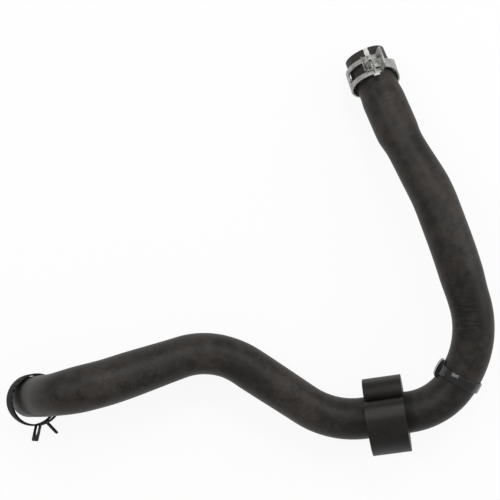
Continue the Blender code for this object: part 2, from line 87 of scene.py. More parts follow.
class Finish:
    """A material that is built from wires."""

    def __init__(self, name):
        self.material = bpy.data.materials.new(name)
        self.material.use_nodes = True
        self.tree = self.material.node_tree
        self.tree.nodes.clear()

    def node(self, kind, settings, values, output=0):
        """Adds a node: its settings first, then the numbers, colours or wires of its sockets."""
        made = self.tree.nodes.new(kind)
        for name, setting in settings.items():
            setattr(made, name, setting)
        for name, value in values.items():
            if isinstance(value, Wire):
                self.tree.links.new(value.socket, made.inputs[name])
            else:
                made.inputs[name].default_value = value
        return Wire(self, made.outputs[output]) if made.outputs else None

    def blend(self, share, first, second):
        """The second colour over the first, by a share from 0 to 1."""
        settings = {"data_type": "RGBA", "clamp_factor": True}
        return self.node("ShaderNodeMix", settings, {0: share, 6: first, 7: second}, 2)

    def place(self):
        """Where a point lies, in metres."""
        return self.node("ShaderNodeTexCoord", {}, {}, 3)

    def vector(self, operation, first, second, output=0):
        """Vector maths. Output 0 is a vector and output 1 a number."""
        values = {0: first, 1: second}
        return self.node("ShaderNodeVectorMath", {"operation": operation}, values, output)

    def measure(self, where, start, direction):
        """How far a place lies from a start, along a direction."""
        return self.vector("DOT_PRODUCT", self.vector("SUBTRACT", where, start), direction, 1)

    def apart(self, where, spot):
        """How far a place lies from a spot, in any direction."""
        return self.vector("DISTANCE", where, spot, 1)

    def noise(self, where, scale, detail=2.0, roughness=0.5):
        values = {"Vector": where, "Scale": scale, "Detail": detail, "Roughness": roughness}
        return self.node("ShaderNodeTexNoise", {}, values)

    def specks(self, where, scale, size, share):
        """Round specks, in a share of the cells of a random net."""
        near = self.node("ShaderNodeTexVoronoi", {}, {"Vector": where, "Scale": scale})
        tint = self.node("ShaderNodeTexVoronoi", {}, {"Vector": where, "Scale": scale}, 1)
        chance = self.node("ShaderNodeSeparateColor", {}, {"Color": tint})
        return self.below(near, size * 0.6, size) * self.below(chance, share, share + 0.02)

    def step(self, value, low, high):
        """0 below low, 1 above high, and a smooth rise between them."""
        values = {"Value": value, "From Min": low, "From Max": high}
        return self.node("ShaderNodeMapRange", {"interpolation_type": "SMOOTHSTEP"}, values)

    def below(self, value, low, high):
        """1 below low, 0 above high, and a smooth fall between them."""
        return 1 - self.step(value, low, high)

    def surface(self, values, bumps=()):
        """The shader, with bumps given as (height wire, depth in metres), coarse first."""
        for height, depth in bumps:
            bump = {"Height": height, "Distance": depth, "Strength": 1.0}
            if "Normal" in values:
                bump["Normal"] = values["Normal"]
            values["Normal"] = self.node("ShaderNodeBump", {}, bump)
        shader = self.node("ShaderNodeBsdfPrincipled", {}, values)
        self.node("ShaderNodeOutputMaterial", {}, {"Surface": shader})
        return self.material


sweep_mesh = bpy.data.meshes.new("white_sweep")
sweep_mesh.from_pydata([(-6, -6, 0), (6, -6, 0), (6, 6, 0), (-6, 6, 0)], [], [(0, 1, 2, 3)])
sweep = bpy.data.objects.new("white_sweep", sweep_mesh)
sweep.location = (0.0, 0.0, -0.0004)
bpy.context.scene.collection.objects.link(sweep)
paper = Finish("white_paper")
matt = paper.node("ShaderNodeBsdfDiffuse", {}, {"Color": (0.86, 0.86, 0.86, 1.0)})
white = paper.node("ShaderNodeEmission", {}, {"Color": (1.0, 1.0, 1.0, 1.0), "Strength": 1.0})
seen = paper.node("ShaderNodeLightPath", {}, {}, 0)
mirrored = paper.node("ShaderNodeLightPath", {}, {}, 3)
through = paper.node("ShaderNodeLightPath", {}, {}, 6)
share = (seen + mirrored + through) * 0.9
paper_mix = paper.node("ShaderNodeMixShader", {}, {0: share, 1: matt, 2: white})
paper.node("ShaderNodeOutputMaterial", {}, {"Surface": paper_mix})
sweep_mesh.materials.append(paper.material)

# Light comes from a broad soft box over the photo's upper side and the white room round it.
# It is weak and even, so that black rubber keeps its depth and the zinc keeps its edges.
room = bpy.data.worlds.new("white_room")
room.use_nodes = True
room.node_tree.nodes["Background"].inputs["Color"].default_value = (1.0, 1.0, 1.0, 1.0)
room.node_tree.nodes["Background"].inputs["Strength"].default_value = 0.50
bpy.context.scene.world = room


def soft_box(name, place, size, watts):
    """A square lamp that faces the hose."""
    lamp_data = bpy.data.lights.new(name, "AREA")
    lamp_data.shape = "RECTANGLE"
    lamp_data.size = size[0]
    lamp_data.size_y = size[1]
    lamp_data.energy = watts
    lamp = bpy.data.objects.new(name, lamp_data)
    lamp.location = place
    lamp.rotation_mode = "QUATERNION"
    lamp.rotation_quaternion = (-Vector(place)).to_track_quat("-Z", "Y")
    bpy.context.scene.collection.objects.link(lamp)


soft_box("soft_box_top", (0.25, 0.80, 1.15), (0.6, 0.4), 5.5)
soft_box("soft_box_right", (1.25, 0.30, 0.75), (0.9, 0.9), 7.0)
soft_box("soft_box_left", (-0.52, 0.23, 1.02), (0.35, 0.8), 3.2)

# The hose is one moulding of black rubber over a fabric layer that can't be seen.
# It was cured on a shaped mandrel, so that it keeps its bends and swells a little in its arms.
# Its skin is satin, mottled and a little dusty, and a dab of white paint marks its upper rim.
hose_bore = 0.019
hose_wall = 0.004
left_arm_swell = 0.0026
arch_swell = 0.0009
low_bend_waist = 0.0004
wide_bend_waist = 0.0002
rising_arm_swell = 0.0014
neck_waist = 0.0010
cuff_swell = 0.0013
seat_gap = 0.0003
cut_edge = 0.0006
bore_edge = 0.0004
hose_sides = 96
ring_spacing = 0.0026
arch_place = 0.115
collar_end_place = 0.2938
inner_bend_place = 0.379
rubber_dark = (0.0088, 0.0074, 0.0063, 1.0)
rubber_light = (0.0295, 0.0243, 0.0205, 1.0)
# Painted shade: a dark rubber colour laid inside the lower clamp, beside the collar's upper end and
# round the arch.
rubber_painted_shade = (0.0040, 0.0037, 0.0033, 1.0)
# Painted shade for the folds of the wrinkles on the inner side of the wide bend.
rubber_fold_painted_shade = (0.006, 0.0056, 0.005, 1.0)
rubber_scuff = (0.070, 0.066, 0.060, 1.0)
rubber_dust = (0.14, 0.135, 0.125, 1.0)
rubber_pressed = (0.060, 0.056, 0.050, 1.0)
white_paint = (0.66, 0.66, 0.63, 1.0)
centreline = (
    (Vector((-0.1479, -0.0987, 0.0055)), 0.0),
    (Vector((-0.1189, -0.0904, 0.0580)), 0.028),
    (Vector((-0.0903, -0.0838, 0.0470)), 0.150),
    (Vector((-0.0230, -0.0629, 0.0230)), 0.0495),
    (Vector((0.0542, -0.1136, 0.0200)), 0.053),
    (Vector((0.1253, -0.1022, 0.0305)), 0.044),
    (Vector((0.1485, -0.0572, 0.0370)), 0.062),
    (Vector((0.1314, -0.0032, 0.0420)), 0.130),
    (Vector((0.1175, 0.0364, 0.0370)), 0.100),
    (Vector((0.0972, 0.0756, 0.0255)), 0.060),
    (Vector((0.0760, 0.1293, 0.0130)), 0.0),
)
swells = (
    (0.000, 0.0),
    (0.042, 0.0),
    (0.068, left_arm_swell),
    (0.090, left_arm_swell),
    (0.138, 0.0),
    (0.164, 0.0),
    (0.184, arch_swell),
    (0.228, 0.0),
    (0.288, 0.0),
    (0.306, -low_bend_waist),
    (0.345, -low_bend_waist),
    (0.370, -wide_bend_waist),
    (0.392, 0.0),
    (0.409, rising_arm_swell),
    (0.466, rising_arm_swell),
    (0.499, -neck_waist),
    (0.512, cuff_swell),
    (0.533, cuff_swell),
    (0.540, 0.0),
)


def ease(value, start, end):
    """A smooth rise from 0 to 1."""
    share = min(1.0, max(0.0, (value - start) / (end - start)))
    return share * share * (3 - 2 * share)


def swell_at(distance):
    """Extra diameter at a distance along the hose."""
    for (a, low), (b, high) in zip(swells, swells[1:]):
        if distance <= b:
            return low + (high - low) * ease(distance, a, b)
    return swells[-1][1]


def outer_radius(distance):
    return hose_bore / 2 + hose_wall + swell_at(distance) / 2


def laid_route(bend_step, straight_step):
    """Points along the middle of the hose: straight runs, and an arc at each corner."""
    corners = [corner + route_origin for corner, _ in centreline]
    points = [corners[0]]
    for i in range(1, len(corners)):
        if i == len(corners) - 1:
            arc = [corners[i]]
        else:
            back = (corners[i - 1] - corners[i]).normalized()
            ahead = (corners[i + 1] - corners[i]).normalized()
            turn = math.pi - back.angle(ahead)
            radius = centreline[i][1]
            middle = corners[i] + (back + ahead).normalized() * radius / math.cos(turn / 2)
            spoke = corners[i] + back * radius * math.tan(turn / 2) - middle
            axis = (-back).cross(ahead).normalized()
            count = max(2, math.ceil(turn / bend_step))
            turns = [Matrix.Rotation(turn * k / count, 3, axis) for k in range(count + 1)]
            arc = [middle + rotation @ spoke for rotation in turns]
        start = points[-1]
        count = max(1, math.ceil((arc[0] - start).length / straight_step))
        points += [start.lerp(arc[0], k / count) for k in range(1, count + 1)] + arc[1:]
    return points


def distances(points):
    along = [0.0]
    for a, b in zip(points, points[1:]):
        along.append(along[-1] + (b - a).length)
    return along


class HoseRoute:
    """The middle of the hose, with a frame carried along it that doesn't twist."""

    def __init__(self, points):
        self.points = points
        self.along = distances(points)
        steps = [(b - a).normalized() for a, b in zip(points, points[1:])]
        between = [(a + b).normalized() for a, b in zip(steps, steps[1:])]
        self.ways = [steps[0]] + between + [steps[-1]]
        side = (Vector((0, 0, 1)) - self.ways[0] * self.ways[0].z).normalized()
        self.sides = [side]
        for way, turned in zip(self.ways, self.ways[1:]):
            side = way.rotation_difference(turned) @ side
            self.sides.append(side)

    def station(self, distance):
        """The number of the first point past a distance."""
        return bisect_right(self.along, distance)

    def ring(self, distance, radius, count):
        """Points on a circle round the hose, at a distance along it."""
        i = min(len(self.points) - 2, max(0, self.station(distance) - 1))
        share = (distance - self.along[i]) / (self.along[i + 1] - self.along[i])
        middle = self.points[i].lerp(self.points[i + 1], share)
        way = self.ways[i].lerp(self.ways[i + 1], share).normalized()
        side = self.sides[i].lerp(self.sides[i + 1], share)
        side = (side - way * side.dot(way)).normalized()
        other = way.cross(side)
        turns = [math.tau * k / count for k in range(count)]
        return [middle + side * radius * math.cos(t) + other * radius * math.sin(t) for t in turns]


def solid(name, points, faces, place=None):
    """A mesh object whose faces all look out."""
    mesh = bpy.data.meshes.new(name)
    mesh.from_pydata([tuple(p) for p in points], [], faces)
    shape = bmesh.new()
    shape.from_mesh(mesh)
    bmesh.ops.recalc_face_normals(shape, faces=shape.faces)
    shape.to_mesh(mesh)
    shape.free()
    made = bpy.data.objects.new(name, mesh)
    bpy.context.scene.collection.objects.link(made)
    if place is not None:
        mesh.transform(place)
    return made


def settle(made, angle=40):
    """Keeps what the modifiers made, and shades it smooth but for its real edges."""
    bpy.context.view_layer.update()
    graph = bpy.context.evaluated_depsgraph_get()
    mesh = bpy.data.meshes.new_from_object(made.evaluated_get(graph))
    made.modifiers.clear()
    made.data = mesh
    mesh.shade_smooth()
    mesh.set_sharp_from_angle(angle=math.radians(angle))
    return made


def fit(made, node, material):
    """The finished piece takes the place of its CAD node."""
    made.data.materials.clear()
    made.data.materials.append(material)
    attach(made, "root")
    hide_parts(node)


hose_route = HoseRoute(laid_route(math.radians(2.0), 0.004))
hose_length = hose_route.along[-1]
skin_steps = math.ceil((hose_length - 2 * cut_edge) / ring_spacing)
skin = [cut_edge + (hose_length - 2 * cut_edge) * i / skin_steps for i in range(skin_steps + 1)]
bore = [hose_length, hose_length - bore_edge, *reversed(skin[2:-2:2]), bore_edge, 0.0]
rounded = []
for turn in (30, 60, 90):
    from_end = cut_edge * (1 - math.sin(math.radians(turn)))
    rounded.append((from_end, cut_edge * (1 - math.cos(math.radians(turn)))))
rings = [(d, outer_radius(d)) for d in skin]
rings += [(hose_length - from_end, outer_radius(hose_length) - inset) for from_end, inset in rounded]
rings += [(d, outer_radius(d) - hose_wall) for d in bore]
rings += [(from_end, outer_radius(0.0) - inset) for from_end, inset in reversed(rounded)]
hose_points = [point for d, r in rings for point in hose_route.ring(d, r, hose_sides)]
hose_faces = []
for i in range(len(rings)):
    here = i * hose_sides
    there = (i + 1) % len(rings) * hose_sides
    for k in range(hose_sides):
        nxt = (k + 1) % hose_sides
        hose_faces.append((here + k, here + nxt, there + nxt, there + k))
hose = settle(solid("heater_hose", hose_points, hose_faces))

rim = hose_route.points[-1]
rim_out = hose_route.ways[-1]
rim_up = (Vector((0, 0, 1)) - rim_out * rim_out.z).normalized()
rim_side = rim_out.cross(rim_up)
rubber = Finish("moulded_rubber")
where = rubber.place()
cloud = rubber.noise(where, 24.0, 3.0, 0.55)
mottle = rubber.noise(where, 150.0, 5.0, 0.65)
grain = rubber.noise(where, 1400.0, 2.0, 0.6)
blotch = rubber.noise(where, 66.0, 4.0, 0.6)
shade = rubber.step(cloud * 0.3 + blotch * 0.35 + mottle * 0.35, 0.41, 0.60)
skin_colour = rubber.blend(shade, rubber_dark, rubber_light)
scuff = rubber.step(cloud, 0.54, 0.68) * rubber.step(rubber.noise(where, 420.0, 4.0, 0.7), 0.50, 0.66)
skin_colour = rubber.blend(scuff * 0.35, skin_colour, rubber_scuff)
# The wrinkles on the inner side of the wide bend are bumps, and their folds are darkened with painted
# shade.
inner_bend = hose_route.points[hose_route.station(inner_bend_place)] + Vector((-0.012, 0.0, 0.006))
folds = rubber.noise(rubber.vector("MULTIPLY", where, (70.0, 760.0, 70.0)), 1.0)
wrinkles = rubber.step(folds, 0.46, 0.60) * rubber.below(rubber.apart(where, inner_bend), 0.008, 0.021)
skin_colour = rubber.blend(wrinkles * 0.55, skin_colour, rubber_fold_painted_shade)
# Painted shade: the last 14 to 27 mm of the lower end are darkened, where the lower clamp's ring shades
# the rubber.
from_lower_end = rubber.measure(where, hose_route.points[0], hose_route.ways[0])
skin_colour = rubber.blend(rubber.below(from_lower_end, 0.014, 0.027) * 0.85, skin_colour, rubber_painted_shade)
# Painted shadow: a dark band on the hose just past the collar's upper end, where the collar shades the
# rubber.
collar_end = hose_route.station(collar_end_place)
collar_side = hose_route.points[collar_end]
past_collar = rubber.measure(where, collar_side, hose_route.ways[collar_end])
near_collar = rubber.below(rubber.apart(where, collar_side), 0.016, 0.020)
collar_end_painted_shadow = rubber.below(abs(past_collar - 0.001), 0.0022, 0.0034) * near_collar
skin_colour = rubber.blend(collar_end_painted_shadow * 0.9, skin_colour, rubber_painted_shade)
# Painted shade: the rubber round the arch is darkened, to take down the light that falls on it there.
arch = hose_route.points[hose_route.station(arch_place)]
near_arch = rubber.below(rubber.apart(where, arch), 0.014, 0.036)
skin_colour = rubber.blend(near_arch * 0.40, skin_colour, rubber_painted_shade)
dust = rubber.specks(where, 330.0, 0.15, 0.10)
skin_colour = rubber.blend(dust * 0.35, skin_colour, rubber_dust)
back = rubber.measure(where, rim, -rim_out)
aside = rubber.measure(where, rim, rim_side)
above = rubber.measure(where, rim, rim_up)
on_top = rubber.step(above, 0.0, 0.008) * rubber.below(abs(aside), 0.003, 0.008)
pressed = rubber.below(abs(back - 0.0248), 0.0003, 0.0008)
for mark in (0.0372, 0.0406):
    pressed = pressed + rubber.below(abs(back - mark), 0.0004, 0.0012) * 0.6
pressed = pressed * on_top
skin_colour = rubber.blend(pressed * 0.25, skin_colour, rubber_pressed)
ragged = (mottle - 0.5) * 0.0022
dab = rubber.below(abs(aside + 0.0001) + ragged, 0.0012, 0.0016) * rubber.step(above, 0.0085, 0.0095)
paint = dab * rubber.below(back + ragged, 0.011, 0.0125) * rubber.below(grain, 0.58, 0.66)
skin_colour = rubber.blend(paint, skin_colour, white_paint)
rubber.surface(
    {
        "Base Color": skin_colour,
        "Roughness": 0.30 + blotch * 0.20 + mottle * 0.18,
        "Specular IOR Level": 0.26,
    },
    [(wrinkles, -0.00025), (pressed, 0.00015), (mottle, 0.00012), (grain, 0.00003), (paint, 0.00005)],
)
fit(hose, "hose", rubber.material)

# The collar is a thick split ring of soft black rubber, opened and pushed over the hose.
# It is moulded too, and duller than the hose. The coarse route has the steps of the solids' own
# route, so that the collar, the clamps and the tie sit where their solids do.
collar_diameter = 0.0503
collar_width = 0.0250
collar_place = 0.2813
collar_split_angle = math.radians(-45)
collar_split_gap = 0.0007
collar_lip_radius = 0.0080
collar_edge = 0.0009
collar_dark = (0.0046, 0.0040, 0.0034, 1.0)
collar_light = (0.0116, 0.0097, 0.0080, 1.0)
# Painted highlight colour for the collar's lower lip.
collar_painted_highlight = (0.0300, 0.0262, 0.0225, 1.0)
collar_dust = (0.12, 0.115, 0.11, 1.0)
coarse_route = laid_route(math.radians(6.5), 0.010)
coarse_along = distances(coarse_route)


def frame_on_hose(distance, towards_upper_end=True):
    """A frame on the hose's middle: Z along it, and X to the side that faces up."""
    for i in range(len(coarse_route) - 1):
        if distance <= coarse_along[i + 1] or i == len(coarse_route) - 2:
            break
    share = (distance - coarse_along[i]) / (coarse_along[i + 1] - coarse_along[i])
    z = (coarse_route[i + 1] - coarse_route[i]).normalized()
    if not towards_upper_end:
        z = -z
    x = (Vector((0, 0, 1)) - z * z.z).normalized()
    place = Matrix((x, z.cross(x), z)).transposed().to_4x4()
    place.translation = coarse_route[i].lerp(coarse_route[i + 1], share)
    return place


def on_circle(radius, angle):
    return Vector((radius * math.cos(angle), radius * math.sin(angle)))


def arc_points(centre, radius, start, end, step):
    count = max(2, math.ceil(abs(end - start) / step))
    return [centre + on_circle(radius, start + (end - start) * i / count) for i in range(count + 1)]


def filled(name, outline, thickness):
    """A flat plate from a closed outline, as an object."""
    curve = bpy.data.curves.new(name, "CURVE")
    curve.dimensions = "2D"
    curve.fill_mode = "BOTH"
    curve.extrude = thickness / 2
    spline = curve.splines.new("POLY")
    spline.points.add(len(outline) - 1)
    for spot, point in zip(spline.points, outline):
        spot.co = (point.x, point.y, 0.0, 1.0)
    spline.use_cyclic_u = True
    flat = bpy.data.objects.new(name, curve)
    bpy.context.scene.collection.objects.link(flat)
    bpy.context.view_layer.update()
    graph = bpy.context.evaluated_depsgraph_get()
    mesh = bpy.data.meshes.new_from_object(flat.evaluated_get(graph))
    bpy.data.objects.remove(flat)
    shape = bmesh.new()
    shape.from_mesh(mesh)
    bmesh.ops.remove_doubles(shape, verts=shape.verts, dist=0.00001)
    shape.to_mesh(mesh)
    shape.free()
    made = bpy.data.objects.new(name, mesh)
    bpy.context.scene.collection.objects.link(made)
    return made


collar_outer = collar_diameter / 2
collar_bore = outer_radius(collar_place) + seat_gap
half_gap = collar_split_gap / 2
lip_side = half_gap + collar_lip_radius
lip_out = collar_outer - collar_lip_radius
lip_angle = math.asin(lip_side / lip_out)
lip_middle = Vector((lip_out * math.cos(lip_angle), lip_side))
bore_angle = math.asin(half_gap / collar_bore)
lip = arc_points(lip_middle, collar_lip_radius, -math.pi / 2, lip_angle, math.radians(6))
hub = Vector((0, 0))
back_arc = arc_points(hub, collar_outer, lip_angle, math.tau - lip_angle, math.radians(4))
outline = lip + back_arc[1:-1]
outline += [Vector((p.x, -p.y)) for p in reversed(lip)]
outline += arc_points(hub, collar_bore, math.tau - bore_angle, bore_angle, math.radians(5))
collar = filled("split_collar", outline, collar_width)
rounding = collar.modifiers.new("edge", "BEVEL")
rounding.width = collar_edge
rounding.segments = 4
rounding.limit_method = "ANGLE"
rounding.angle_limit = math.radians(60)
settle(collar, 50)
collar_frame = frame_on_hose(collar_place)
collar.data.transform(collar_frame @ Matrix.Rotation(collar_split_angle, 4, "Z"))

foam = Finish("soft_collar_rubber")
where = foam.place()
cloud = foam.noise(where, 40.0, 3.0, 0.55)
mottle = foam.noise(where, 140.0, 4.0, 0.6)
grain = foam.noise(where, 1800.0, 2.0, 0.6)
collar_colour = foam.blend(foam.step(cloud * 0.5 + mottle * 0.5, 0.36, 0.66), collar_dark, collar_light)
# Painted highlight: a lighter band along the collar's lower lip, below the split, where the lip catches
# the light.
lip_painted_highlight_angle = math.radians(-14)
lip_painted_highlight_spot = collar_frame @ Vector((*on_circle(collar_outer, lip_painted_highlight_angle), 0.0))
lip_painted_highlight_way = collar_frame.to_3x3() @ Vector((-math.sin(lip_painted_highlight_angle), math.cos(lip_painted_highlight_angle), 0.0))
round_collar = foam.measure(where, lip_painted_highlight_spot, lip_painted_highlight_way) + (cloud - 0.5) * 0.004
lip_painted_highlight = foam.below(abs(round_collar), 0.0015, 0.0055)
collar_colour = foam.blend(lip_painted_highlight * 0.8, collar_colour, collar_painted_highlight)
dust = foam.specks(where, 340.0, 0.15, 0.08)
collar_colour = foam.blend(dust * 0.3, collar_colour, collar_dust)
foam.surface(
    {"Base Color": collar_colour, "Roughness": 0.40 + mottle * 0.20, "Specular IOR Level": 0.28},
    [(mottle, 0.0001), (grain, 0.00003)],
)
fit(collar, "collar", foam.material)

# The upper spring band clamp is one stamped steel strip with a dull grey zinc flake coat.
# Its tongue passes through its own fork, and it stands open, so that it hangs round the hose.
strip_width = 0.0135
strip_thickness = 0.0012
leg_width = 0.0031
tongue_clearance = 0.00035
tongue_shoulder = 0.0008
tang_length = 0.0108
tang_bend_radius = 0.0014
tang_corner = 0.0016
slot_from_tangs = math.radians(82)
shoulder_start = math.radians(42)
shoulder_end = math.radians(100)
ring_step = math.radians(2.5)
stamped_edge = 0.0002
upper_setback = 0.0088
upper_opening = 0.0032
upper_spread = math.radians(22)
upper_tongue_lean = math.radians(6)
upper_fork_lean = math.radians(-2)
upper_tangs = math.radians(4)
upper_slip = math.radians(-30)
upper_tilt = math.radians(9)
upper_tilt_side = math.radians(143)
zinc_dull = (0.29, 0.295, 0.285, 1.0)
zinc_bright = (0.45, 0.45, 0.435, 1.0)
zinc_stain = (0.085, 0.083, 0.076, 1.0)
# Lighter zinc for the strip's edges: partly wear, partly a painted highlight.
zinc_worn_and_highlit = (0.60, 0.60, 0.585, 1.0)
half_strip = strip_width / 2
half_slot = half_strip - leg_width
half_slot_tip = half_slot * 0.3
half_tongue = half_slot - tongue_clearance
half_tongue_tang = half_tongue - tongue_shoulder
half_shoulder = half_tongue * 1.08


def tang_offset(radius):
    """The angle between the foot of a tang's bend and the tang."""
    return math.asin(tang_bend_radius / (radius + tang_bend_radius))


def tang_bend(radius, angle, side, lean):
    """The bend between the ring and a tang, from the ring outwards."""
    foot = angle + side * tang_offset(radius)
    centre = on_circle(radius + tang_bend_radius, foot)
    start = foot + math.pi
    sweep = side * (math.pi / 2 - tang_offset(radius) - lean)
    steps = 8
    return [centre + on_circle(tang_bend_radius, start + sweep * i / steps) for i in range(steps + 1)]


def tang_point(radius, angle, side, lean, height):
    """A point on the straight of a tang, by its height over the ring."""
    start = tang_bend(radius, angle, side, lean)[-1]
    return start + on_circle(radius + height - start.length, angle - side * lean)


def corner_inset(height):
    """How much narrower a tang is on each side at a height, for its rounded corners."""
    short = max(0.0, height - (tang_length - tang_corner))
    return tang_corner - math.sqrt(max(0.0, tang_corner**2 - short**2))


def slot_end(depth):
    """Half the width of a slot at a depth from its rounded end."""
    share = min(1.0, max(0.05, depth / half_slot))
    return max(half_slot_tip, math.sqrt(1 - (1 - share) ** 2) * half_slot)


def stamped(name, rows, cells, thickness, edge, place):
    """A strip with a real thickness and softened edges, from the points across it at each station.
    The cells say which of the spaces between neighbouring points is metal."""
    across = len(rows[0])
    points = [point for row in rows for point in row]
    faces = []
    for i, row_metal in enumerate(cells):
        for j, metal in enumerate(row_metal):
            if metal:
                a = i * across + j
                faces.append((a, a + 1, a + across + 1, a + across))
    used = sorted({corner for face in faces for corner in face})
    number = {old: new for new, old in enumerate(used)}
    faces = [tuple(number[corner] for corner in face) for face in faces]
    made = solid(name, [points[old] for old in used], faces, place)
    sheet = made.modifiers.new("thickness", "SOLIDIFY")
    sheet.thickness = thickness
    sheet.offset = 0.0
    sheet.use_even_offset = True
    rounding = made.modifiers.new("edge", "BEVEL")
    rounding.width = edge
    rounding.segments = 2
    rounding.limit_method = "ANGLE"
    rounding.angle_limit = math.radians(50)
    return settle(made, 45)


def spring_clamp(name, radius, spread, tongue_lean, fork_lean, place):
    """The clamp's strip, from the tip of its tongue's tang round to the tip of its fork's tang."""
    tongue_angle = -spread / 2
    fork_angle = math.tau + spread / 2
    stations = []
    for height in [tang_length - tang_corner * i / 6 for i in range(7)] + [tang_length / 2]:
        half = half_tongue_tang - min(corner_inset(height), 0.6 * half_tongue_tang)
        spot = tang_point(radius, tongue_angle, 1, tongue_lean, height)
        stations.append((spot, half, half, "tongue"))
    for spot in reversed(tang_bend(radius, tongue_angle, 1, tongue_lean)):
        stations.append((spot, half_tongue_tang, half_tongue_tang, "tongue"))
    first = tongue_angle + tang_offset(radius)
    last = fork_angle - tang_offset(radius)
    count = math.ceil((last - first) / ring_step)
    slot_start = math.tau - slot_from_tangs
    for i in range(1, count):
        angle = first + (last - first) * i / count
        spot = on_circle(radius, angle)
        if angle < shoulder_start:
            widening = ease(angle, first, shoulder_start)
            half = half_tongue_tang + (half_tongue - half_tongue_tang) * widening
            stations.append((spot, half, half, "tongue"))
        elif angle < slot_start:
            widening = ease(angle, shoulder_start, shoulder_end)
            outer = half_shoulder + (half_strip - half_shoulder) * widening
            narrowing = ease(angle, shoulder_start, slot_start)
            inner = half_tongue + (half_slot_tip - half_tongue) * narrowing
            stations.append((spot, inner, outer, "full"))
        else:
            stations.append((spot, slot_end((angle - slot_start) * radius), half_strip, "fork"))
    for spot in tang_bend(radius, fork_angle, -1, fork_lean):
        stations.append((spot, half_slot, half_strip, "fork"))
    bar = tang_length - leg_width
    depths = [half_slot * share for share in (1.0, 0.75, 0.5, 0.3, 0.15, 0.0)]
    for height in [(tang_bend_radius + bar - half_slot) / 2] + [bar - depth for depth in depths[:-1]]:
        spot = tang_point(radius, fork_angle, -1, fork_lean, height)
        stations.append((spot, slot_end(bar - height), half_strip - corner_inset(height), "fork"))
    for height in [bar] + [tang_length - tang_corner * i / 6 for i in range(6, -1, -1)]:
        spot = tang_point(radius, fork_angle, -1, fork_lean, height)
        stations.append((spot, half_slot_tip, half_strip - corner_inset(height), "full"))
    metal = {"tongue": (False, True, False), "full": (True, True, True), "fork": (True, False, True)}
    rows = [
        [Vector((spot.x, spot.y, w)) for w in (-outer, -inner, inner, outer)]
        for spot, inner, outer, _ in stations
    ]
    cells = [metal[kind] for _, _, _, kind in stations[:-1]]
    return stamped(name, rows, cells, strip_thickness, stamped_edge, place)


def clamp_radius(distance, opening):
    """Middle of the strip's thickness, with the clamp held open."""
    return outer_radius(distance) + seat_gap + opening / 2 + strip_thickness / 2


def clamp_place(distance, towards_upper_end, opening, tangs, slip, tilt, tilt_side):
    """The clamp's frame, X towards its tangs. It hangs on the hose at the side opposite its slip."""
    way = on_circle(1.0, slip)
    aside = on_circle(half_strip * math.sin(tilt), tilt_side)
    shared = abs(way.dot(aside))
    drop = math.sqrt(shared**2 + (opening / 2) ** 2 - aside.length_squared) - shared
    shift = Matrix.Translation((*(way * drop), 0))
    hinge = on_circle(1.0, tilt_side + math.pi / 2).to_3d()
    turned = Matrix.Rotation(tilt, 4, hinge) @ Matrix.Rotation(tangs, 4, "Z")
    return frame_on_hose(distance, towards_upper_end) @ shift @ turned


upper_distance = coarse_along[-1] - upper_setback - half_strip
upper_radius = clamp_radius(upper_distance, upper_opening)
upper_place = clamp_place(
    upper_distance, True, upper_opening, upper_tangs, upper_slip, upper_tilt, upper_tilt_side
)
upper_clamp = spring_clamp(
    "upper_spring_clamp", upper_radius, upper_spread, upper_tongue_lean, upper_fork_lean, upper_place
)


def worn_and_highlit_edge(finish, where, place):
    """The long edges of a clamp's strip, in a patchy line: partly wear, partly a painted highlight on
    the edges.
    """
    middle = place.translation
    axis = place.to_3x3() @ Vector((0, 0, 1))
    side = abs(finish.measure(where, middle, axis))
    patchy = finish.step(finish.noise(where, 500.0, 3.0, 0.6), 0.36, 0.60)
    return finish.step(side, half_strip - 0.0007, half_strip - 0.0001) * patchy


def zinc_coat(name, dull, bright, stained):
    """Grey zinc: cloudy, with a fine flake, small dark stains, and brighter edges that are partly wear
    and partly a painted highlight.
    """
    zinc = Finish(name)
    where = zinc.place()
    cloud = zinc.noise(where, 240.0, 4.0, 0.6)
    flake = zinc.noise(where, 2600.0, 2.0, 0.6)
    coat = zinc.blend(zinc.step(cloud, 0.3, 0.7), dull, bright)
    stains = zinc.step(zinc.noise(where, 760.0, 3.0, 0.6), 0.52, 0.64)
    coat = zinc.blend(stains * stained, coat, zinc_stain)
    # The long edges are lightened: partly wear, partly a painted highlight where the edges catch the
    # light.
    coat = zinc.blend(worn_and_highlit_edge(zinc, where, upper_place) * 0.5, coat, zinc_worn_and_highlit)
    return zinc.surface(
        {"Base Color": coat, "Roughness": 0.42 + cloud * 0.15, "Metallic": 0.70},
        [(flake, 0.00002)],
    )


band_zinc = zinc_coat("zinc_flake", zinc_dull, zinc_bright, 0.35)
fit(upper_clamp, "upper_clamp", band_zinc)

# The clip that holds the upper clamp open is thin zinc plated steel strip, cut and bent.
# The tongue's tang comes up through its window, and its T tab hangs behind the band.
# Its reaches and bends are counted in sheet_gap, the distance between two seated sheets.
clip_thickness = 0.0009
clip_lip = 0.0026
clip_hook = 0.0030
clip_neck_width = 0.0019
clip_rail = 0.0010
clip_tab_width = 0.0042
clip_tab_depth = 0.0018
clip_edge = 0.00015
lip_reach = 2.4
hook_reach = 1.3
plate_reach = 1.6
lip_bend = 0.9
hook_bend = 0.5
clip_dull = (0.22, 0.22, 0.21, 1.0)
clip_bright = (0.48, 0.48, 0.46, 1.0)
clip_radius = upper_radius + strip_thickness / 2 + seat_gap + clip_thickness / 2
clip_window = half_tongue_tang + 2 * seat_gap
tongue_angle = -upper_spread / 2
fork_angle = upper_spread / 2
sheet_gap = strip_thickness / 2 + clip_thickness / 2 + seat_gap
plate_start = tongue_angle - lip_reach * sheet_gap / clip_radius
window_start = tongue_angle - (strip_thickness / 2 + seat_gap) / clip_radius
window_end = tongue_angle + (tang_bend_radius + strip_thickness / 2 + seat_gap) / clip_radius
